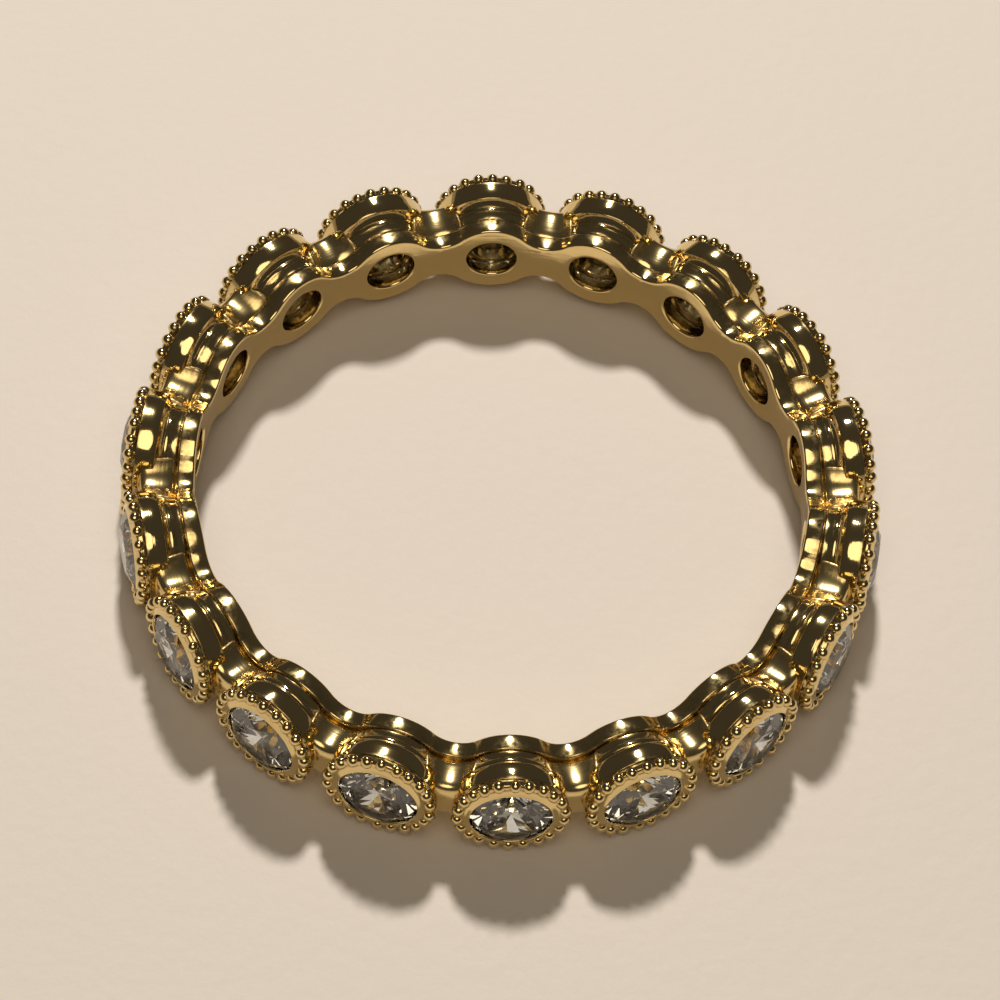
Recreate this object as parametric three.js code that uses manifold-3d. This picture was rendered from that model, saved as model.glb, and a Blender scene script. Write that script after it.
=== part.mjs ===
// A stackable ring: one cast gold-coloured band of round bezel cups joined side by side all the
// way round, with a round brilliant-cut stone in every cup. Millimetres. The ring's axis is +Z, and
// it lies on its side on the plane z = 0, its origin on the axis at that plane.

import * as THREE from 'three';
import { ConvexGeometry } from 'three/addons/geometries/ConvexGeometry.js';
import { mergeVertices } from 'three/addons/utils/BufferGeometryUtils.js';
import Module from 'manifold-3d';

const wasm = await Module();
wasm.setup();

// Driving dimensions
const fingerDiameter = 17.3; // the bore that the finger goes through
const cupCount = 18;
const bandDepth = 2.0; // from the bore to the rims of the cups, along a radius
const rimDiameter = 3.3; // the rim of a cup, which is also the width of the ring
const rimHeight = 0.3; // the beaded rim, along the cup's axis
const wallDiameter = 3.05; // the wall of a cup just under its rim
const waistDiameter = 2.4; // the wall where it meets the gallery strip
const waistHeight = 0.08; // the step there, and the one under the rim
const lobeDiameter = 2.56; // the gallery strip, which runs round the back of each cup as a lobe
const stripThickness = 0.5; // the gallery strip, from the bore outwards
const webWidth = 1.3; // the web of metal that joins two cups, along the ring's axis
const webDepth = 1.6; // how far the web reaches out from the bore
const backHoleDiameter = 1.44; // the hole behind each stone

const stoneDiameter = 2.4;
const tableDiameter = 0.57 * stoneDiameter;
const crownHeight = 0.15 * stoneDiameter;
const pavilionDepth = 0.42 * stoneDiameter;
const girdleThickness = 0.06;
const stoneProud = 0.14; // how far the table stands out of the rim
const seatGap = 0.05; // clearance between a stone and its seat

const cupSides = 16; // flats round a cup
const boreSidesPerCup = 3;

// Places worked out from them. "out" is a distance from the ring's axis along a cup's own axis.
const boreRadius = fingerDiameter / 2;
const boreSides = boreSidesPerCup * cupCount;
const rimOut = boreRadius + bandDepth;
const stripOut = boreRadius + stripThickness;
const tableOut = rimOut + stoneProud;
const girdleOut = tableOut - crownHeight;
const axisHeight = rimDiameter / 2;
const cutOverrun = 0.5; // how far a cutting tool runs past the metal that it cuts

const gold = new THREE.MeshStandardMaterial({ color: 0xd9b35c, roughness: 0.16, metalness: 1 });
const clearStone = new THREE.MeshStandardMaterial({ color: 0xeef2f5, roughness: 0.02, metalness: 0 });

// A closed geometry as a manifold-3d solid. Triangles that collapse at a pole are dropped.
function toSolid(geometry) {
  const bare = geometry.clone();
  bare.deleteAttribute('normal');
  bare.deleteAttribute('uv');
  const merged = mergeVertices(bare);
  const corners = merged.index.array;
  const kept = [];
  for (let i = 0; i < corners.length; i += 3) {
    const [a, b, c] = corners.slice(i, i + 3);
    if (a !== b && b !== c && c !== a) {
      kept.push(a, b, c);
    }
  }
  return new wasm.Manifold(new wasm.Mesh({
    numProp: 3,
    vertProperties: new Float32Array(merged.attributes.position.array),
    triVerts: new Uint32Array(kept),
  }));
}

function toGeometry(solid) {
  const mesh = solid.getMesh();
  const geometry = new THREE.BufferGeometry();
  geometry.setAttribute('position', new THREE.BufferAttribute(mesh.vertProperties, 3));
  geometry.setIndex(new THREE.BufferAttribute(mesh.triVerts, 1));
  return geometry;
}

// A turned shape about the Y axis, which is a cup's own axis. Its flats, not its corners, lie on the
// radii given, and one flat faces down, so that a cup rests on it.
function turned(profile) {
  const halfStep = Math.PI / cupSides;
  const points = profile.map(([radius, out]) => new THREE.Vector2(radius / Math.cos(halfStep), out));
  return new THREE.LatheGeometry(points, cupSides, halfStep);
}

// Stands a shape made at the +Y cup in any cup of the ring.
function placementAt(index) {
  const turn = new THREE.Matrix4().makeRotationZ((-2 * Math.PI * index) / cupCount);
  return turn.setPosition(0, 0, axisHeight);
}

// The outside of a cup, from the lobe of the gallery strip, in at the waist, up the wall to the rim.
function cupBody() {
  return turned([
    [0, boreRadius - cutOverrun],
    [lobeDiameter / 2, boreRadius - cutOverrun],
    [lobeDiameter / 2, stripOut - waistHeight],
    [waistDiameter / 2, stripOut],
    [wallDiameter / 2, rimOut - rimHeight - waistHeight],
    [rimDiameter / 2, rimOut - rimHeight],
    [rimDiameter / 2, rimOut],
    [0, rimOut],
  ]);
}

// What is cut out of a cup: the hole behind the stone, the seat under its girdle, and the mouth,
// whose lip reaches in over the girdle and holds the stone down.
function cupHollow() {
  const girdleRadius = stoneDiameter / 2;
  const holeRadius = backHoleDiameter / 2;
  const seatSlope = pavilionDepth / girdleRadius;
  const seatBottom = girdleOut - seatSlope * (girdleRadius - holeRadius) - 2 * seatGap;
  const lipRadius = girdleRadius - 1.2 * seatGap;
  return turned([
    [0, boreRadius - 2 * cutOverrun],
    [holeRadius, boreRadius - 2 * cutOverrun],
    [holeRadius, seatBottom],
    [girdleRadius + seatGap, girdleOut - girdleThickness / 2 - seatGap],
    [girdleRadius + seatGap, girdleOut + girdleThickness / 2 + seatGap],
    [lipRadius, rimOut - seatGap],
    [lipRadius, rimOut + cutOverrun],
    [0, rimOut + cutOverrun],
  ]);
}

// The webs between the cups, turned as one ring about Z.
function webRing() {
  const inner = boreRadius - cutOverrun;
  const outer = boreRadius + webDepth;
  const section = [
    [inner, -webWidth / 2],
    [outer, -webWidth / 2],
    [outer, webWidth / 2],
    [inner, webWidth / 2],
    [inner, -webWidth / 2],
  ];
  const points = section.map(([radius, height]) => new THREE.Vector2(radius, height));
  const ring = new THREE.LatheGeometry(points, boreSides);
  ring.rotateX(Math.PI / 2);
  ring.translate(0, 0, axisHeight);
  return ring;
}

function fingerBore() {
  const bore = new THREE.CylinderGeometry(boreRadius, boreRadius, 2 * rimDiameter, boreSides);
  bore.rotateX(Math.PI / 2);
  bore.translate(0, 0, axisHeight);
  return bore;
}

// The metal: webs and cups are joined first, and then every hollow is cut.
function bandGeometry() {
  let metal = toSolid(webRing());
  const body = toSolid(cupBody());
  const hollow = toSolid(cupHollow());
  for (let i = 0; i < cupCount; i += 1) {
    metal = metal.add(body.transform(placementAt(i).elements));
  }
  for (let i = 0; i < cupCount; i += 1) {
    metal = metal.subtract(hollow.transform(placementAt(i).elements));
  }
  return toGeometry(metal.subtract(toSolid(fingerBore())));
}

// Points evenly spaced on a circle about the Y axis.
function circlePoints(count, radius, out, turn = 0) {
  const points = [];
  for (let i = 0; i < count; i += 1) {
    const angle = (2 * Math.PI * i) / count + turn;
    points.push(new THREE.Vector3(radius * Math.sin(angle), out, radius * Math.cos(angle)));
  }
  return points;
}

// A round brilliant cut. Its facets are the faces of the hull of its corners: eight round the table,
// eight where the star and kite facets meet, sixteen above and below the girdle, eight where the
// lower facets meet, and the culet. Each ring of meeting points lies in the plane of the kites.
function brilliantGeometry() {
  const girdle = stoneDiameter / 2;
  const table = tableDiameter / 2;
  const eighth = Math.PI / 4;
  const top = girdleOut + girdleThickness / 2;
  const bottom = girdleOut - girdleThickness / 2;
  const culet = girdleOut - pavilionDepth;
  const starShare = 0.31; // how far down the kite its side corners lie
  const lowerShare = 0.22; // how far out from the culet the lower meeting points lie
  const kiteRadius = (table + (girdle - table) * starShare) / Math.cos(eighth / 2);
  const kiteOut = tableOut + (top - tableOut) * starShare;
  const lowerRadius = (girdle * lowerShare) / Math.cos(eighth / 2);
  const lowerOut = culet + (bottom - culet) * lowerShare;
  return new ConvexGeometry([
    ...circlePoints(8, table, tableOut),
    ...circlePoints(8, kiteRadius, kiteOut, eighth / 2),
    ...circlePoints(16, girdle, top),
    ...circlePoints(16, girdle, bottom),
    ...circlePoints(8, lowerRadius, lowerOut, eighth / 2),
    new THREE.Vector3(0, culet, 0),
  ]);
}

function namedMesh(name, geometry, material) {
  const mesh = new THREE.Mesh(geometry, material);
  mesh.name = name;
  return mesh;
}

const ring = new THREE.Group();
ring.add(namedMesh('band', bandGeometry(), gold));

const brilliant = brilliantGeometry();
for (let i = 0; i < cupCount; i += 1) {
  const stone = namedMesh(`stone_${String(i + 1).padStart(2, '0')}`, brilliant, clearStone);
  stone.applyMatrix4(placementAt(i));
  ring.add(stone);
}

export default ring;
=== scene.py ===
"""Stackable ring: a full eternity band in gold plate, with a round stone in every cup.

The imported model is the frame. The one cast band gets fine surfaces, worked out with numpy in the
frame's own metres, and every piece gets its finish. Laid out as an add-on, and run as a script.
"""

import math

import bmesh
import bpy
import numpy as np
from bpy.props import FloatProperty, FloatVectorProperty, IntProperty, PointerProperty
from bpy.types import Operator, Panel, PropertyGroup
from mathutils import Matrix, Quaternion, Vector


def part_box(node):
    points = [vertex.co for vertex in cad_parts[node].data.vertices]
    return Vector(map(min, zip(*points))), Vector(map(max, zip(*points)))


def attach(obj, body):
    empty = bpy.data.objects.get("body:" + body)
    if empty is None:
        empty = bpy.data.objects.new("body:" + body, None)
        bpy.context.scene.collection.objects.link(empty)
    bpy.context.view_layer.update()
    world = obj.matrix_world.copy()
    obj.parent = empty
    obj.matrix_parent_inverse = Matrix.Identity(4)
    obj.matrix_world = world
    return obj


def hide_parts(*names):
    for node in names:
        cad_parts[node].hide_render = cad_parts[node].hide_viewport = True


bl_info = {
    "name": "Stackable Ring",
    "version": (1, 0, 0),
    "blender": (4, 5, 0),
    "location": "3D View > Sidebar > Ring",
    "description": "Builds the fine surfaces, finishes and stage of a stackable ring",
    "category": "Add Mesh",
}

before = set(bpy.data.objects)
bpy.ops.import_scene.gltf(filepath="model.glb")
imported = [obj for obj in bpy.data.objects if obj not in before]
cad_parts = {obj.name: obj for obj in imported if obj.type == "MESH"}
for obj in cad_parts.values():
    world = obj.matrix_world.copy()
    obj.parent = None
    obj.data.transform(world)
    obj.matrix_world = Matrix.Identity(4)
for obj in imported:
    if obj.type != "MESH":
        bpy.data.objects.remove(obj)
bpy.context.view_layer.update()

MM = 0.001
BODY = "root"
BAND = "band"
STONES = sorted(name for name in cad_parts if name.startswith("stone_"))
CUPS = len(STONES)

# Read from the frame: the ring's axis is +Z, and the first cup's axis is +Y.
BAND_LOW, BAND_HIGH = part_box(BAND)
STONE_LOW, STONE_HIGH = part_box(STONES[0])
RIM_OUT = BAND_HIGH.y
RIM_DIAMETER = BAND_HIGH.z - BAND_LOW.z
AXIS_HEIGHT = (BAND_HIGH.z + BAND_LOW.z) / 2
CULET_OUT = STONE_LOW.y
TABLE_OUT = STONE_HIGH.y
STONE_DIAMETER = STONE_HIGH.z - STONE_LOW.z

WELD = 1e-8  # points closer than this are one point

# The stage, in degrees and metres. Azimuth 0 is -Y, and elevation is above the floor.
LENS = 178
CLIP_START = 0.01
CAMERA_AZIMUTH, CAMERA_ELEVATION, CAMERA_DISTANCE = -6.8, 54.5, 0.14
CAMERA_ROLL = 6.3
FLOOR_RADIUS, FLOOR_BEND, FLOOR_WALL = 0.6, 0.05, 0.03
ROOM_COLOUR, ROOM_STRENGTH = "#E6DACB", 0.058
# Name, azimuth, elevation, distance, diameter, watts and colour of each lamp.
LAMPS = (
    ("key_lamp", 180, 53, 0.45, 0.05, 1.56, "#FFF7EC"),
    ("front_fill", -7, 64, 0.7, 0.5, 1.15, "#FFEED3"),
)


# ---------------------------------------------------------------------------------------------
# Sizes and colours
# ---------------------------------------------------------------------------------------------


def linear(colour):
    """An sRGB hex colour as linear red, green and blue."""
    coded = np.array([int(colour[i : i + 2], 16) for i in (1, 3, 5)]) / 255
    return tuple(np.where(coded <= 0.04045, coded / 12.92, ((coded + 0.055) / 1.055) ** 2.4))


def length(name, millimetres, description):
    """A size of the ring, shown as a length."""
    return FloatProperty(
        name=name, description=description, default=millimetres * MM, min=0, unit="LENGTH", precision=5
    )


def colour(name, code, description):
    """A colour of the ring, from its sRGB hex code."""
    return FloatVectorProperty(
        name=name, description=description, default=linear(code), min=0, max=1, size=3, subtype="COLOR"
    )


class RingSizes(PropertyGroup):
    """Sizes of the cast band. What joins the band to its stones comes from the frame."""

    band_depth: length("Band depth", 2.0, "From the finger bore to the rims of the cups")
    strip_thickness: length("Strip thickness", 0.5, "The gallery strip, outwards from the bore")
    strip_edge: length("Strip edge", 0.07, "Radius of the strip's rounded edges")
    lobe_diameter: length("Lobe", 2.56, "The round lobe of the strip behind each stone")
    neck_width: length("Neck", 1.3, "The strip between two lobes")
    hole_diameter: length("Back hole", 1.44, "The hole behind each stone")
    hole_edge: length("Hole edge", 0.07, "Radius of the rounded edge of a back hole")
    foot_diameter: length("Cup foot", 2.48, "A cup where it stands on the strip")
    ridge_diameter: length("Ridge", 2.62, "The narrow ridge round the lower half of a cup")
    wall_diameter: length("Cup wall", 3.16, "The bowl of a cup under its rim")
    swell: length("Swell", 0.014, "How far the bowl bulges")
    groove: length("Groove", 0.03, "Depth of the turned grooves round a cup")
    web_foot: length("Web foot", 1.12, "A web where it stands on the strip, along the ring's axis")
    web_width: length("Web width", 1.4, "A web at its outer end, along the ring's axis")
    web_depth: length("Web depth", 1.6, "How far a web reaches out from the bore")
    bead_diameter: length("Bead", 0.39, "One bead of a rim")
    beads: IntProperty(name="Beads", description="Beads round one rim", default=22, min=3)


class RingColours(PropertyGroup):
    """Colours of the metal, the stones and the floor."""

    gold: colour("Gold", "#F1DBA4", "Yellow gold plate where it is clean")
    deep_gold: colour("Deep gold", "#EACF8C", "The same plate where it lies thicker")
    # Dull brown for grooves and recesses: partly polishing compound, partly painted shade.
    soil: colour("Soil", "#6E5530", "Polishing compound left in the grooves")
    stone: colour("Stone", "#F6FAFC", "Clear cubic zirconia")
    stone_tint: colour("Stone tint", "#EAF1F4", "The faint grey of a worn facet")
    floor: colour("Floor", "#E8E0D8", "Matt pale card")


# ---------------------------------------------------------------------------------------------
# Surfaces
# ---------------------------------------------------------------------------------------------


def grid_faces(rows, columns, wrap_rows=True, wrap_columns=True):
    """Quads of a grid numbered row by row. A wrapped side joins back to its start."""
    row = np.arange(rows if wrap_rows else rows - 1)[:, None]
    column = np.arange(columns if wrap_columns else columns - 1)[None, :]
    next_row = (row + 1) % rows
    next_column = (column + 1) % columns
    corners = [(row, column), (row, next_column), (next_row, next_column), (next_row, column)]
    return np.stack([r * columns + c for r, c in corners], axis=-1).reshape(-1, 4)


def at_every_cup(points, faces):
    """Copies a shape to every cup.

    A point is (along, out, up): along the ring, out from its axis, and up from its middle plane.
    Cup number k is turned clockwise by k steps of a full turn shared by the cups, so
    x = out sin + along cos and y = out cos - along sin of that turn.
    """
    turn = 2 * np.pi * np.arange(CUPS)[:, None] / CUPS
    along, out, up = np.broadcast_to(points, (CUPS, *points.shape[-2:])).transpose(2, 0, 1)
    x = out * np.sin(turn) + along * np.cos(turn)
    y = out * np.cos(turn) - along * np.sin(turn)
    placed = np.stack([x, y, up + AXIS_HEIGHT], axis=-1).reshape(-1, 3)
    offsets = points.shape[-2] * np.arange(CUPS)[:, None, None]
    return placed, [(part + offsets).reshape(-1, part.shape[-1]) for part in faces]


def make_piece(name, points, faces, attributes=None):
    """A smooth mesh object from points and lists of faces, with its doubles merged and faces outwards."""
    mesh = bpy.data.meshes.new(name)
    mesh.from_pydata(points.tolist(), [], [face for part in faces for face in part.tolist()])
    for key, values in (attributes or {}).items():
        layer = mesh.attributes.new(key, "FLOAT", "POINT")
        layer.data.foreach_set("value", np.ascontiguousarray(values, np.float32).ravel())
    work = bmesh.new()
    work.from_mesh(mesh)
    bmesh.ops.remove_doubles(work, verts=work.verts, dist=WELD)
    bmesh.ops.delete(work, geom=[v for v in work.verts if not v.link_faces], context="VERTS")
    bmesh.ops.recalc_face_normals(work, faces=work.faces)
    work.to_mesh(mesh)
    work.free()
    mesh.shade_smooth()
    piece = bpy.data.objects.new(name, mesh)
    bpy.context.scene.collection.objects.link(piece)
    return piece


def add_metal_piece(name, points, faces, attributes, material):
    """A piece of the cast band: it rides on the body and stands for the frame's band."""
    piece = make_piece(name, points, faces, attributes)
    piece.data.materials.append(material)
    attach(piece, BODY)
    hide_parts(BAND)
    return piece


def polish_outside(piece, bore, material):
    """Gives the second finish to the faces that stand off the bore."""
    piece.data.materials.append(material)
    faces = piece.data.polygons
    centres = np.empty(3 * len(faces), np.float32)
    faces.foreach_get("center", centres)
    x, y, _ = centres.reshape(-1, 3).T
    outside = np.hypot(x, y) > bore + 0.02 * MM
    faces.foreach_set("material_index", outside.astype(np.int32))


def eased(count):
    """Shares from 0 to just under 1, close together near both ends: half of one minus a cosine."""
    return (1 - np.cos(np.pi * np.arange(count) / count)) / 2


def outline_of_strip(sizes, half_pitch):
    """A quarter of the strip's outline round one hole, from the neck's middle to the lobe's top.

    The lobe is a circle about the hole. A concave arc touches it and meets the next sector level at
    the neck. Returns points pulled in by the edge radius, and the outward normals. The first few
    points lie on the cut to the next sector, where the strip goes on.
    """
    edge = sizes.strip_edge
    lobe = sizes.lobe_diameter / 2
    neck = sizes.neck_width / 2
    arc, touch = touching_arc(half_pitch, neck, lobe)
    arc_centre = np.array([half_pitch, neck + arc])

    cut_up = np.linspace(0, neck - edge, 5)[:-1]
    cut = np.stack([np.full_like(cut_up, half_pitch), cut_up], axis=1)
    on_arc = np.linspace(0, touch, 9)[:-1]
    arc_normal = np.stack([np.sin(on_arc), np.cos(on_arc)], axis=1)
    on_lobe = np.linspace(touch, 0, 10)
    lobe_normal = np.stack([np.sin(on_lobe), np.cos(on_lobe)], axis=1)

    points = np.concatenate([cut, arc_centre - (arc + edge) * arc_normal, (lobe - edge) * lobe_normal])
    normals = np.concatenate([np.tile([1.0, 0.0], (len(cut), 1)), arc_normal, lobe_normal])
    return points, normals


def mirrored(quarter, signs):
    """Goes once round from one quarter: up, back over the top, and the same two below."""
    right, left = np.array(signs[0]), np.array(signs[1])
    return np.concatenate(
        [quarter[:-1], (quarter * left)[:0:-1], (quarter * left * right)[:-1], (quarter * right)[:0:-1]]
    )


def build_strip(sizes):
    """The gallery strip: a scalloped band with a hole behind each stone.

    Round one hole, each column of the grid runs out from the hole to the outline. Its rows go up the
    hole's wall, over the rounded edge, out across the face, round the strip's edge and back behind.
    The flat sector is then wrapped on the bore, where a length along it is an angle about the axis.
    """
    bore = RIM_OUT - sizes.band_depth
    half_pitch = math.pi * bore / CUPS
    edge, thickness = sizes.strip_edge, sizes.strip_thickness
    hole, hole_edge = sizes.hole_diameter / 2, sizes.hole_edge
    quarter, quarter_normals = outline_of_strip(sizes, half_pitch)
    flips = ((1.0, -1.0), (-1.0, 1.0))
    rim = mirrored(quarter, flips)
    normals = mirrored(quarter_normals, flips)
    on_cut = np.hypot(*(np.abs(rim) - [half_pitch, 0]).T) < sizes.neck_width / 2 - edge - WELD
    inward = rim / np.linalg.norm(rim, axis=1, keepdims=True)

    bend = np.pi / 2 * np.linspace(0, 1, 5)
    rows = []  # each is a line of points across all columns, and its depth from the bore

    def add_rows(starts, ends, shares, depths):
        pairs = zip(shares, np.broadcast_to(depths, len(shares)))
        rows.extend((starts + (ends - starts) * share, depth) for share, depth in pairs)

    wall, shoulder = inward * hole, inward * (hole + hole_edge)
    add_rows(wall, wall, np.zeros(3), np.linspace(thickness, hole_edge, 4)[:-1])
    add_rows(wall, shoulder, 1 - np.cos(bend), hole_edge * (1 - np.sin(bend)))
    add_rows(shoulder, rim, np.linspace(0, 1, 7)[1:-1], 0)
    add_rows(rim, rim + normals * edge, np.sin(bend), edge * (1 - np.cos(bend)))
    first_side = len(rows) - len(bend)
    add_rows(rim + normals * edge, rim, 1 - np.cos(bend), thickness - edge * (1 - np.sin(bend)))
    last_side = len(rows) - 1
    add_rows(rim, wall, np.linspace(0, 1, 4)[1:-1], thickness)

    flat = np.stack([line for line, _ in rows])
    depth = np.array([d for _, d in rows])[:, None]
    angle = flat[..., 0] / bore
    radius = bore + depth
    points = np.stack([radius * np.sin(angle), radius * np.cos(angle), flat[..., 1]], axis=-1)

    count = len(rim)
    faces = grid_faces(len(rows), count)
    row, column = faces[:, 0] // count, faces[:, 0] % count
    is_side = (row >= first_side) & (row < last_side)
    is_open = on_cut[column] | on_cut[(column + 1) % count]
    faces = faces[~(is_side & is_open)]

    across = np.broadcast_to(flat[..., 1], flat.shape[:2]).ravel()
    # Painted shade, with some compound: darker the further out from the bore face, down the holes, round
    # the strip's edge and over its back.
    most_compound_and_shade = 0.6
    soil = most_compound_and_shade * np.clip((depth - hole_edge) / thickness, 0, 1)
    soil = np.broadcast_to(soil, flat.shape[:2]).ravel()
    placed, placed_faces = at_every_cup(points.reshape(-1, 3), [faces])
    return placed, placed_faces, {"across": np.tile(across, CUPS), "soil": np.tile(soil, CUPS)}


def cup_profile(sizes):
    """The closed section of a cup, as rows of radius, distance out, compound and painted shade, and
    length along it.

    Each run goes from its point to the next in a few steps, and swells out from the straight line by
    half a sine wave. It goes up the outside from the foot, over the lip, and down the seat and hole.
    """
    bore = RIM_OUT - sizes.band_depth
    strip = bore + sizes.strip_thickness
    foot, ridge, wall = sizes.foot_diameter / 2, sizes.ridge_diameter / 2, sizes.wall_diameter / 2
    hole, bead = sizes.hole_diameter / 2, sizes.bead_diameter / 2
    groove, swell = sizes.groove, sizes.swell
    girdle = STONE_DIAMETER / 2
    bead_out = RIM_OUT - bead

    # The ledge that the beads sit on, and below it the ridge and the bowl. The bowl is nearly
    # straight above its shoulder, and rounds in below it.
    ledge_out = bead_out - 0.8 * bead
    rim = RIM_DIAMETER / 2 - 0.6 * bead
    half_ridge = 0.07 * MM
    ridge_out = strip + 0.3 * (ledge_out - strip)
    bowl_out = strip + 0.5 * (ledge_out - strip)
    bowl = wall - 0.065 * MM
    shoulder_out = (bowl_out + ledge_out) / 2
    shoulder = wall - 0.004 * MM

    # The lip laps over the girdle, and the seat runs parallel to the stone's pavilion.
    gap = 0.02 * MM
    lip = girdle - 0.065 * MM
    lip_top, lip_foot, trough = RIM_OUT - 0.04 * MM, RIM_OUT - 0.07 * MM, RIM_OUT - 0.11 * MM
    girdle_out = TABLE_OUT - 0.15 * STONE_DIAMETER
    half_girdle = 0.05 * MM
    seat_slope = (girdle_out - CULET_OUT) / girdle
    seat_out = girdle_out - seat_slope * (girdle - hole) - 4 * gap
    buried = strip - 0.1 * MM
    hundredth = 0.01 * MM

    # radius, out, swell of the run to the next point, its steps, and the compound and painted shade at
    # the point, darkest in grooves and recesses
    runs = [
        (foot - groove, buried, 0, 1, 1),
        (foot - groove, strip + hundredth, 0, 1, 1),
        (foot, strip + groove, -0.3 * groove, 6, 0.7),
        (ridge - 0.6 * groove, ridge_out - half_ridge, 0.6 * groove, 6, 0.6),
        (ridge - 0.4 * groove, ridge_out + half_ridge, -0.6 * groove, 8, 0.7),
        (bowl, bowl_out, swell, 7, 0.2),
        (shoulder, shoulder_out, 0.3 * swell, 7, 0),
        (wall, ledge_out - groove, 0, 1, 0.6),
        (wall - 0.6 * groove, ledge_out - 0.5 * groove, 0, 1, 1),
        (rim, ledge_out, 0, 2, 0.7),
        (rim, bead_out + 0.1 * bead, 2 * hundredth, 4, 0.3),
        (rim - 0.7 * bead, trough, -2 * hundredth, 5, 0.8),
        (lip + 3 * hundredth, lip_top, 0.8 * hundredth, 3, 0),
        (lip, lip_foot, 0, 2, 0),
        (lip, trough, 0, 1, 0.5),
        (girdle + gap, girdle_out + half_girdle, 0, 1, 1),
        (girdle + gap, girdle_out - half_girdle, 0, 4, 1),
        (hole + gap, seat_out, 0, 1, 0.8),
        (hole, seat_out - gap, 0, 4, 0.7),
        (hole, strip + gap, 0, 1, 0.7),
        (hole + gap, strip, 0, 1, 0.7),
        (hole + gap, buried, 0, 1, 1),
    ]
    rows = []
    for start, end in zip(runs, runs[1:] + runs[:1]):
        *origin, bulge, steps, compound_and_shade_here = start
        run = np.array(end[:2]) - origin
        share = eased(steps)[:, None]
        outward = np.array([run[1], -run[0]]) / np.linalg.norm(run)
        line = origin + run * share + outward * bulge * np.sin(np.pi * share)
        fade = np.abs(2 * share - 1) ** 3
        soil = np.where(share < 0.5, compound_and_shade_here, end[-1]) * fade
        rows.append(np.hstack([line, soil]))
    profile = np.concatenate(rows)
    steps = np.linalg.norm(np.diff(profile[:, :2], axis=0), axis=1)
    return np.hstack([profile, np.concatenate([[0], np.cumsum(steps)])[:, None]])


def build_cups(sizes):
    """The cups: the cup's section turned about the cup's own axis, with sine and cosine of its angle."""
    around = 60
    profile = cup_profile(sizes)
    angle = 2 * np.pi * np.arange(around) / around
    radius, out, soil, across = (column[:, None] for column in profile.T)
    points = np.stack(
        [radius * np.sin(angle), np.broadcast_to(out, (len(profile), around)), radius * np.cos(angle)],
        axis=-1,
    )
    placed, faces = at_every_cup(points.reshape(-1, 3), [grid_faces(len(profile), around)])
    spread = {"soil": soil, "across": across}
    return placed, faces, {k: np.tile(np.repeat(v.ravel(), around), CUPS) for k, v in spread.items()}


def touching_arc(half_pitch, neck, circle):
    """The concave arc that touches two equal circles and crosses the middle between them level.

    The circles' centres are half_pitch from the middle, and neck is the height of the crossing. The
    arc's radius a follows from half_pitch^2 + (neck + a)^2 = (circle + a)^2. Returns a, and the angle
    from the arc's centre between the middle and a touching point.
    """
    arc = (half_pitch**2 + neck**2 - circle**2) / (2 * (circle - neck))
    return arc, np.arctan2(half_pitch, neck + arc)


def build_webs(sizes):
    """The webs between neighbouring cups.

    A web's section is a rounded rectangle, a superellipse of the fourth power. Its outer end is wider
    than its foot. At every distance out, its top and bottom follow the concave arc that touches both
    cups there, and its ends turn in under the cups' walls.
    """
    bore = RIM_OUT - sizes.band_depth
    around, stations, buried = 40, 21, 0.12 * MM
    strip = bore + sizes.strip_thickness
    low = strip - 0.08 * MM
    high = bore + sizes.web_depth
    turn = 2 * np.pi * np.arange(around) / around
    power = 4
    wide = np.sign(np.cos(turn)) * np.abs(np.cos(turn)) ** (2 / power)
    tall = np.sign(np.sin(turn)) * np.abs(np.sin(turn)) ** (2 / power)

    out = (high + low) / 2 + (high - low) / 2 * tall
    rise = np.clip((out - strip) / (high - strip), 0, 1)
    cup = (sizes.foot_diameter + (sizes.wall_diameter - sizes.foot_diameter) * rise) / 2
    neck = (sizes.web_foot + (sizes.web_width - sizes.web_foot) * rise) / 2
    half_pitch = np.pi * out / CUPS
    arc, touch = touching_arc(half_pitch, neck, cup)
    share = np.linspace(-1, 1, stations)[:, None]
    along = arc * np.sin(share * touch)
    height = neck + arc * (1 - np.cos(share * touch))
    end_along = half_pitch - (cup - buried) * np.sin(touch)
    end_height = (cup - buried) * np.cos(touch)
    along = np.concatenate([[-end_along], along, [end_along]])
    height = np.concatenate([[end_height], height, [end_height]])

    angle = np.pi / CUPS + along / out
    points = np.stack([out * np.sin(angle), out * np.cos(angle), height * wide], axis=-1).reshape(-1, 3)
    caps = np.stack([points[:around].mean(axis=0), points[-around:].mean(axis=0)])
    side = np.arange(around)
    next_side = (side + 1) % around
    rows = stations + 2
    last = (rows - 1) * around
    centre = rows * around
    ends = np.concatenate(
        [
            np.stack([np.full(around, centre), next_side, side], axis=1),
            np.stack([np.full(around, centre + 1), last + side, last + next_side], axis=1),
        ]
    )
    quads = grid_faces(rows, around, wrap_rows=False)
    placed, faces = at_every_cup(np.concatenate([points, caps]), [quads, ends])
    # Painted shade, with some compound: darker towards the ends, where a web meets the cups.
    most_compound_and_shade = 0.7
    near_cup = np.concatenate([[1], np.abs(share.ravel()) ** 3, [1]])
    soil = most_compound_and_shade * np.concatenate([np.repeat(near_cup, around), [1, 1]])
    across = np.concatenate([np.tile(out - bore, rows), [0, 0]])
    return placed, faces, {"soil": np.tile(soil, CUPS), "across": np.tile(across, CUPS)}


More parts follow.
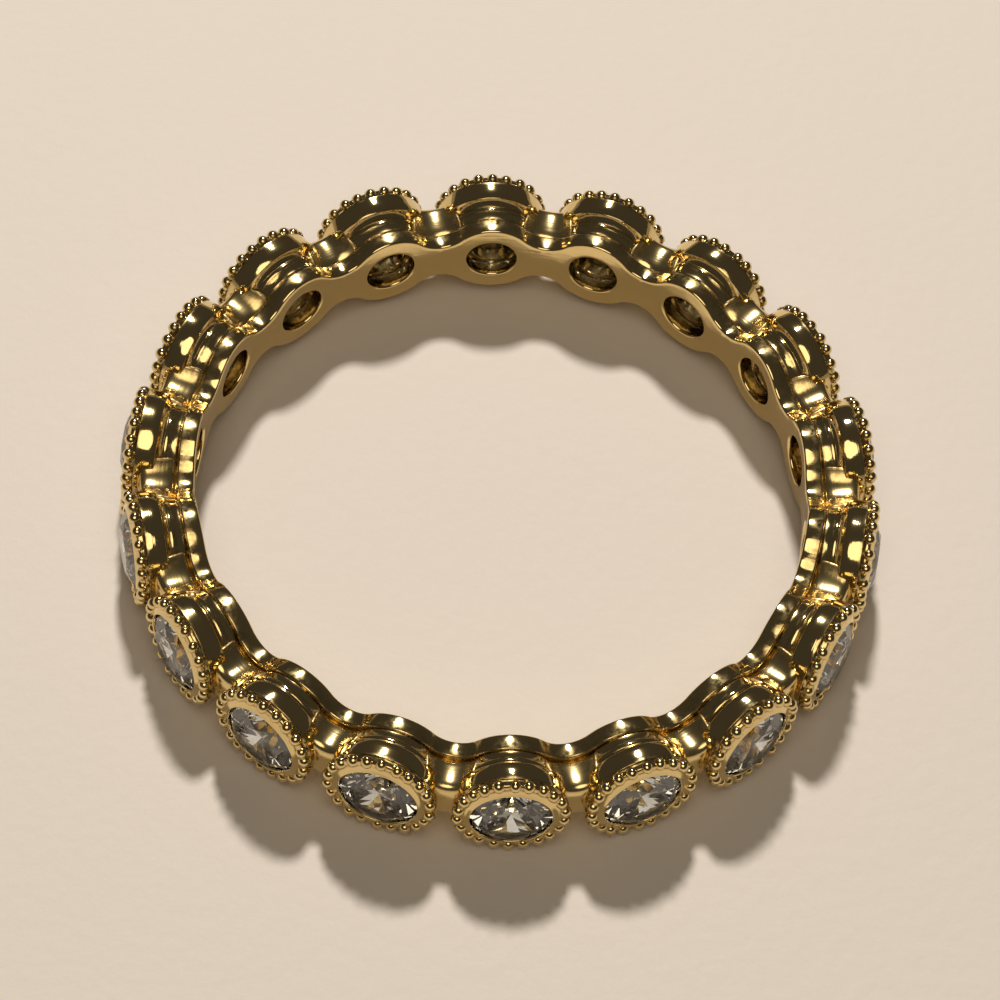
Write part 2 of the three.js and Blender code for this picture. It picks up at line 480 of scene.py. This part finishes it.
def unit_ball(around, bands):
    """A ball of radius 1 from rings of latitude and two poles, as points, quads and triangles."""
    latitude = np.pi * np.arange(1, bands)[:, None] / bands
    longitude = 2 * np.pi * np.arange(around) / around
    ring = np.stack(
        [
            np.sin(latitude) * np.cos(longitude),
            np.broadcast_to(np.cos(latitude), (bands - 1, around)),
            np.sin(latitude) * np.sin(longitude),
        ],
        axis=-1,
    )
    points = np.concatenate([ring.reshape(-1, 3), [[0, 1, 0], [0, -1, 0]]])
    side = np.arange(around)
    next_side = (side + 1) % around
    last = (bands - 2) * around
    top, bottom = len(points) - 2, len(points) - 1
    caps = np.concatenate(
        [
            np.stack([np.full(around, top), side, next_side], axis=1),
            np.stack([np.full(around, bottom), last + next_side, last + side], axis=1),
        ]
    )
    return points, grid_faces(bands - 1, around, wrap_rows=False), caps


def build_beads(sizes):
    """The beads of the rims: balls evenly spaced on a circle, each a little off in size and place.

    A beading wheel rolls them out of the rim by hand, so no two are quite alike.
    """
    rng = np.random.default_rng(18)
    count = sizes.beads
    bead = sizes.bead_diameter / 2
    ball, quads, caps = unit_ball(around=10, bands=6)
    step = 2 * np.pi / count
    stray, shrink, sink = 0.05, 0.1, 0.03
    angle = step * np.arange(count) + rng.normal(0, stray * step, (CUPS, count))
    size = bead * (1 - rng.uniform(0, shrink, (CUPS, count)))
    radius = RIM_DIAMETER / 2 - size
    out = RIM_OUT - size - rng.uniform(0, sink, (CUPS, count)) * MM
    centres = np.stack([radius * np.sin(angle), out, radius * np.cos(angle)], axis=-1)
    points = centres[:, :, None] + ball * size[:, :, None, None]
    offsets = len(ball) * np.arange(count)[:, None, None]
    faces = [(part + offsets).reshape(-1, part.shape[-1]) for part in (quads, caps)]
    placed, placed_faces = at_every_cup(points.reshape(CUPS, -1, 3), faces)
    # Painted shade, with some compound: darker on the inner half of each bead, where it sinks into the
    # rim.
    most_compound_and_shade, compound_and_shade_line = 0.6, 0.35
    soil = most_compound_and_shade * np.tile(np.clip(compound_and_shade_line - ball[:, 1], 0, 1), CUPS * count)
    return placed, placed_faces, {"soil": soil, "across": np.zeros(len(placed))}


# ---------------------------------------------------------------------------------------------
# Materials
# ---------------------------------------------------------------------------------------------


def add_node(tree, kind, settings=None, links=None):
    """Adds a node. Settings name a property or a socket, and links name the output for a socket."""
    node = tree.nodes.new(kind)
    for key, value in (settings or {}).items():
        if isinstance(key, int) or key in node.inputs:
            node.inputs[key].default_value = value
        else:
            setattr(node, key, value)
    for key, output in (links or {}).items():
        tree.links.new(output, node.inputs[key])
    return node


def new_material(name):
    """A new material, and its node tree with every node cleared."""
    material = bpy.data.materials.new(name)
    material.use_nodes = True
    material.node_tree.nodes.clear()
    return material, material.node_tree


def opaque(rgb):
    """A colour property as the four numbers of a colour socket."""
    return (*rgb, 1.0)


def gold_plate(name, colours, clean, hazy, line_spacing, line_height):
    """Yellow gold plate over silver, cast and tumbled.

    It gives a warm mirror whose gloss runs from clean to hazy in soft patches, fine parallel lines
    from the way it was worked, and dull brown in its grooves and recesses: partly polishing compound,
    partly painted shade. The real lines are finer.
    They are drawn about 0.1 mm apart, as coarse as they must be to show.
    """
    material, tree = new_material(name)
    place = add_node(tree, "ShaderNodeTexCoord").outputs["Object"]
    across = add_node(tree, "ShaderNodeAttribute", {"attribute_name": "across"}).outputs["Fac"]
    soil = add_node(tree, "ShaderNodeAttribute", {"attribute_name": "soil"}).outputs["Fac"]

    # Patches of thicker plate and of handling haze, 1.2 mm wide.
    patch_size = 1.2 * MM
    patches = add_node(
        tree, "ShaderNodeTexNoise", {"Scale": 1 / patch_size, "Detail": 3.0}, {"Vector": place}
    ).outputs["Fac"]
    haze = add_node(
        tree,
        "ShaderNodeMapRange",
        {"From Min": 0.35, "From Max": 0.7, "To Min": clean, "To Max": hazy},
        {"Value": patches},
    ).outputs["Result"]

    # The lines: noise that changes fast across the surface and slowly along it, 1.5 mm long.
    line_length = 1.5 * MM
    slow = add_node(
        tree, "ShaderNodeVectorMath", {"operation": "SCALE", "Scale": 1 / line_length}, {0: place}
    ).outputs["Vector"]
    fast = add_node(
        tree, "ShaderNodeMath", {"operation": "DIVIDE", 1: line_spacing}, {0: across}
    ).outputs["Value"]
    drift = add_node(
        tree, "ShaderNodeVectorMath", {"operation": "ADD"}, {0: slow, 1: fast}
    ).outputs["Vector"]
    lines = add_node(
        tree, "ShaderNodeTexNoise", {"Scale": 1.0, "Detail": 1.0}, {"Vector": drift}
    ).outputs["Fac"]

    # The compound and painted shade thin out in small flecks, 0.15 mm wide.
    fleck_size = 0.15 * MM
    flecks = add_node(
        tree, "ShaderNodeTexNoise", {"Scale": 1 / fleck_size, "Detail": 2.0}, {"Vector": place}
    ).outputs["Fac"]
    thinned = add_node(
        tree,
        "ShaderNodeMapRange",
        {"From Min": 0.3, "From Max": 0.6, "To Min": 0.0, "To Max": 1.3},
        {"Value": flecks},
    ).outputs["Result"]
    compound_and_shade_share = add_node(
        tree, "ShaderNodeMath", {"operation": "MULTIPLY", "use_clamp": True}, {0: soil, 1: thinned}
    ).outputs["Value"]

    # The cast skin is never quite true: shallow waves 0.5 mm wide make its reflections wander.
    wave_size, wave_height = 0.5 * MM, 0.008 * MM
    waves = add_node(
        tree, "ShaderNodeTexNoise", {"Scale": 1 / wave_size, "Detail": 1.0}, {"Vector": place}
    ).outputs["Fac"]
    wavy = add_node(
        tree, "ShaderNodeBump", {"Strength": 1.0, "Distance": wave_height}, {"Height": waves}
    ).outputs["Normal"]

    plate = add_node(
        tree,
        "ShaderNodeMix",
        {"data_type": "RGBA", 6: opaque(colours.gold), 7: opaque(colours.deep_gold)},
        {0: patches},
    ).outputs[2]
    # Mixes in the dull brown: painted shade in grooves and recesses, with some polishing compound.
    plate_with_compound_and_shade = add_node(
        tree,
        "ShaderNodeMix",
        {"data_type": "RGBA", 7: opaque(colours.soil)},
        {0: compound_and_shade_share, 6: plate},
    ).outputs[2]
    roughness = add_node(
        tree, "ShaderNodeMath", {"operation": "MULTIPLY_ADD", 1: 0.35}, {0: compound_and_shade_share, 2: haze}
    ).outputs["Value"]
    bump = add_node(
        tree,
        "ShaderNodeBump",
        {"Strength": 1.0, "Distance": line_height},
        {"Height": lines, "Normal": wavy},
    ).outputs["Normal"]
    shader = add_node(
        tree,
        "ShaderNodeBsdfPrincipled",
        {"Metallic": 1.0},
        {"Base Color": plate_with_compound_and_shade, "Roughness": roughness, "Normal": bump},
    ).outputs["BSDF"]
    add_node(tree, "ShaderNodeOutputMaterial", links={"Surface": shader})
    return material


def cut_zirconia(colours):
    """Cubic zirconia, cut and polished flat.

    Its index of 2.16 turns light back out through the crown, so facets flash bright or go dark. A
    faint film of handling, in patches 0.6 mm wide, softens some of them.
    """
    material, tree = new_material("cut_cubic_zirconia")
    place = add_node(tree, "ShaderNodeTexCoord").outputs["Object"]
    film_size = 0.6 * MM
    film = add_node(
        tree, "ShaderNodeTexNoise", {"Scale": 1 / film_size, "Detail": 2.0}, {"Vector": place}
    ).outputs["Fac"]
    tint = add_node(
        tree,
        "ShaderNodeMix",
        {"data_type": "RGBA", 6: opaque(colours.stone), 7: opaque(colours.stone_tint)},
        {0: film},
    ).outputs[2]
    roughness = add_node(
        tree,
        "ShaderNodeMapRange",
        {"From Min": 0.45, "From Max": 0.75, "To Min": 0.0, "To Max": 0.05},
        {"Value": film},
    ).outputs["Result"]
    shader = add_node(
        tree,
        "ShaderNodeBsdfPrincipled",
        {"IOR": 2.16, "Transmission Weight": 1.0},
        {"Base Color": tint, "Roughness": roughness},
    ).outputs["BSDF"]
    add_node(tree, "ShaderNodeOutputMaterial", links={"Surface": shader})
    return material


def pale_card(colours):
    """Matt pale card. A faint tooth 0.5 mm wide keeps the floor from looking empty."""
    material, tree = new_material("pale_card")
    place = add_node(tree, "ShaderNodeTexCoord").outputs["Object"]
    tooth_size, tooth_height = 0.5 * MM, 0.05 * MM
    tooth = add_node(
        tree, "ShaderNodeTexNoise", {"Scale": 1 / tooth_size, "Detail": 3.0}, {"Vector": place}
    ).outputs["Fac"]
    bump = add_node(
        tree, "ShaderNodeBump", {"Strength": 0.35, "Distance": tooth_height}, {"Height": tooth}
    ).outputs["Normal"]
    shader = add_node(
        tree,
        "ShaderNodeBsdfPrincipled",
        {"Base Color": opaque(colours.floor), "Roughness": 0.6},
        {"Normal": bump},
    ).outputs["BSDF"]
    add_node(tree, "ShaderNodeOutputMaterial", links={"Surface": shader})
    return material


def polished_plate(colours):
    """The outside of the casting, polished bright on the wheel. It is made once and then shared."""
    return bpy.data.materials.get("polished_gold_plate") or gold_plate(
        "polished_gold_plate",
        colours,
        clean=0.05,
        hazy=0.11,
        line_spacing=0.08 * MM,
        line_height=0.0016 * MM,
    )


def satin_plate(colours):
    """The inside of the casting, which only the tumbler reaches, so it stays satin."""
    return gold_plate(
        "satin_gold_plate", colours, clean=0.07, hazy=0.14, line_spacing=0.1 * MM, line_height=0.0018 * MM
    )


def cast_plate(colours):
    """The webs, where no wheel reaches in, so the plate lies on the skin that the mould left."""
    return gold_plate(
        "cast_gold_plate", colours, clean=0.14, hazy=0.23, line_spacing=0.12 * MM, line_height=0.003 * MM
    )


# ---------------------------------------------------------------------------------------------
# Stage
# ---------------------------------------------------------------------------------------------


def build_floor():
    """A round floor that turns up into a low wall: a section of a line, a quarter arc and a line."""
    around, rings = 96, 12
    flat = np.stack([np.linspace(0, FLOOR_RADIUS, rings), np.zeros(rings)], axis=1)
    bend = np.pi / 2 * np.arange(1, rings + 1) / rings
    arc = np.stack([FLOOR_RADIUS + FLOOR_BEND * np.sin(bend), FLOOR_BEND * (1 - np.cos(bend))], axis=1)
    top = [[FLOOR_RADIUS + FLOOR_BEND, FLOOR_BEND + FLOOR_WALL]]
    radius, height = np.concatenate([flat, arc, top]).T[:, :, None]
    turn = 2 * np.pi * np.arange(around) / around
    points = np.stack(
        [radius * np.cos(turn), radius * np.sin(turn), np.broadcast_to(height, (len(height), around))],
        axis=-1,
    )
    return points.reshape(-1, 3), [grid_faces(len(height), around, wrap_rows=False)]


def ring_centre():
    """The middle of the ring."""
    return Vector((0, 0, AXIS_HEIGHT))


def towards(azimuth, elevation):
    """The direction from the ring to a place seen at that azimuth and height, in degrees. 0 is -Y."""
    turn, rise = math.radians(azimuth), math.radians(elevation)
    return Vector((math.sin(turn) * math.cos(rise), -math.cos(turn) * math.cos(rise), math.sin(rise)))


def add_lamp(name, azimuth, elevation, distance, diameter, watts, code):
    """A round soft lamp that faces the ring."""
    light = bpy.data.lights.new(name, "AREA")
    light.shape = "DISK"
    light.size = diameter
    light.energy = watts
    light.color = linear(code)
    lamp = bpy.data.objects.new(name, light)
    direction = towards(azimuth, elevation)
    lamp.location = ring_centre() + direction * distance
    lamp.rotation_euler = direction.to_track_quat("Z", "Y").to_euler()
    bpy.context.scene.collection.objects.link(lamp)


def add_camera():
    """A long lens that looks down on the ring from the front, held a little askew."""
    camera = bpy.data.cameras.new("camera")
    camera.lens = LENS
    camera.clip_start = CLIP_START
    holder = bpy.data.objects.new("camera", camera)
    direction = towards(CAMERA_AZIMUTH, CAMERA_ELEVATION)
    askew = Quaternion((0, 0, 1), math.radians(CAMERA_ROLL))
    holder.location = ring_centre() + direction * CAMERA_DISTANCE
    holder.rotation_euler = (direction.to_track_quat("Z", "Y") @ askew).to_euler()
    bpy.context.scene.collection.objects.link(holder)
    bpy.context.scene.camera = holder


def add_world():
    """A dim warm room, which keeps the polished walls dark between their highlights."""
    world = bpy.data.worlds.new("dim_room")
    world.use_nodes = True
    tree = world.node_tree
    tree.nodes.clear()
    room = {"Color": opaque(linear(ROOM_COLOUR)), "Strength": ROOM_STRENGTH}
    glow = add_node(tree, "ShaderNodeBackground", room).outputs["Background"]
    add_node(tree, "ShaderNodeOutputWorld", links={"Surface": glow})
    bpy.context.scene.world = world


# ---------------------------------------------------------------------------------------------
# Operators, panel and registration
# ---------------------------------------------------------------------------------------------


class RING_OT_strip(Operator):
    """Build the scalloped gallery strip round the finger bore"""

    bl_idname = "ring.strip"
    bl_label = "Gallery Strip"

    def execute(self, context):
        sizes, colours = context.scene.ring_sizes, context.scene.ring_colours
        strip = add_metal_piece("gallery_strip", *build_strip(sizes), satin_plate(colours))
        polish_outside(strip, RIM_OUT - sizes.band_depth, polished_plate(colours))
        return {"FINISHED"}


class RING_OT_cups(Operator):
    """Build the turned cups that hold the stones"""

    bl_idname = "ring.cups"
    bl_label = "Cups"

    def execute(self, context):
        points, faces, attributes = build_cups(context.scene.ring_sizes)
        material = polished_plate(context.scene.ring_colours)
        add_metal_piece("bezel_cups", points, faces, attributes, material)
        return {"FINISHED"}


class RING_OT_webs(Operator):
    """Build the webs that join neighbouring cups"""

    bl_idname = "ring.webs"
    bl_label = "Webs"

    def execute(self, context):
        points, faces, attributes = build_webs(context.scene.ring_sizes)
        material = cast_plate(context.scene.ring_colours)
        add_metal_piece("cup_webs", points, faces, attributes, material)
        return {"FINISHED"}


class RING_OT_beads(Operator):
    """Build the beads round the rims"""

    bl_idname = "ring.beads"
    bl_label = "Rim Beads"

    def execute(self, context):
        points, faces, attributes = build_beads(context.scene.ring_sizes)
        material = polished_plate(context.scene.ring_colours)
        add_metal_piece("rim_beads", points, faces, attributes, material)
        return {"FINISHED"}


class RING_OT_stones(Operator):
    """Give the frame's stones the finish of cut zirconia"""

    bl_idname = "ring.stones"
    bl_label = "Stones"

    def execute(self, context):
        material = cut_zirconia(context.scene.ring_colours)
        for name in STONES:
            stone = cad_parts[name]
            stone.data.materials.clear()
            stone.data.materials.append(material)
        return {"FINISHED"}


class RING_OT_stage(Operator):
    """Set the floor, the lamps, the room and the camera"""

    bl_idname = "ring.stage"
    bl_label = "Stage"

    def execute(self, context):
        floor = make_piece("floor", *build_floor())
        floor.data.materials.append(pale_card(context.scene.ring_colours))
        for lamp in LAMPS:
            add_lamp(*lamp)
        add_world()
        add_camera()
        context.scene.view_settings.view_transform = "Standard"
        return {"FINISHED"}


class RING_PT_panel(Panel):
    """The ring's sizes, colours and steps"""

    bl_label = "Stackable Ring"
    bl_space_type = "VIEW_3D"
    bl_region_type = "UI"
    bl_category = "Ring"

    def draw(self, context):
        for group in (context.scene.ring_sizes, context.scene.ring_colours):
            box = self.layout.box()
            for key in group.__annotations__:
                box.prop(group, key)
        for step in STEPS:
            self.layout.operator(step.bl_idname)


STEPS = (RING_OT_strip, RING_OT_cups, RING_OT_webs, RING_OT_beads, RING_OT_stones, RING_OT_stage)
CLASSES = (RingSizes, RingColours, *STEPS, RING_PT_panel)


def register():
    for item in CLASSES:
        bpy.utils.register_class(item)
    bpy.types.Scene.ring_sizes = PointerProperty(type=RingSizes)
    bpy.types.Scene.ring_colours = PointerProperty(type=RingColours)


def unregister():
    del bpy.types.Scene.ring_colours
    del bpy.types.Scene.ring_sizes
    for item in reversed(CLASSES):
        bpy.utils.unregister_class(item)


def main():
    """Builds the ring and its stage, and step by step."""
    register()
    for step in STEPS:
        group, name = step.bl_idname.split(".")
        getattr(getattr(bpy.ops, group), name)()


if __name__ == "__main__":
    main()
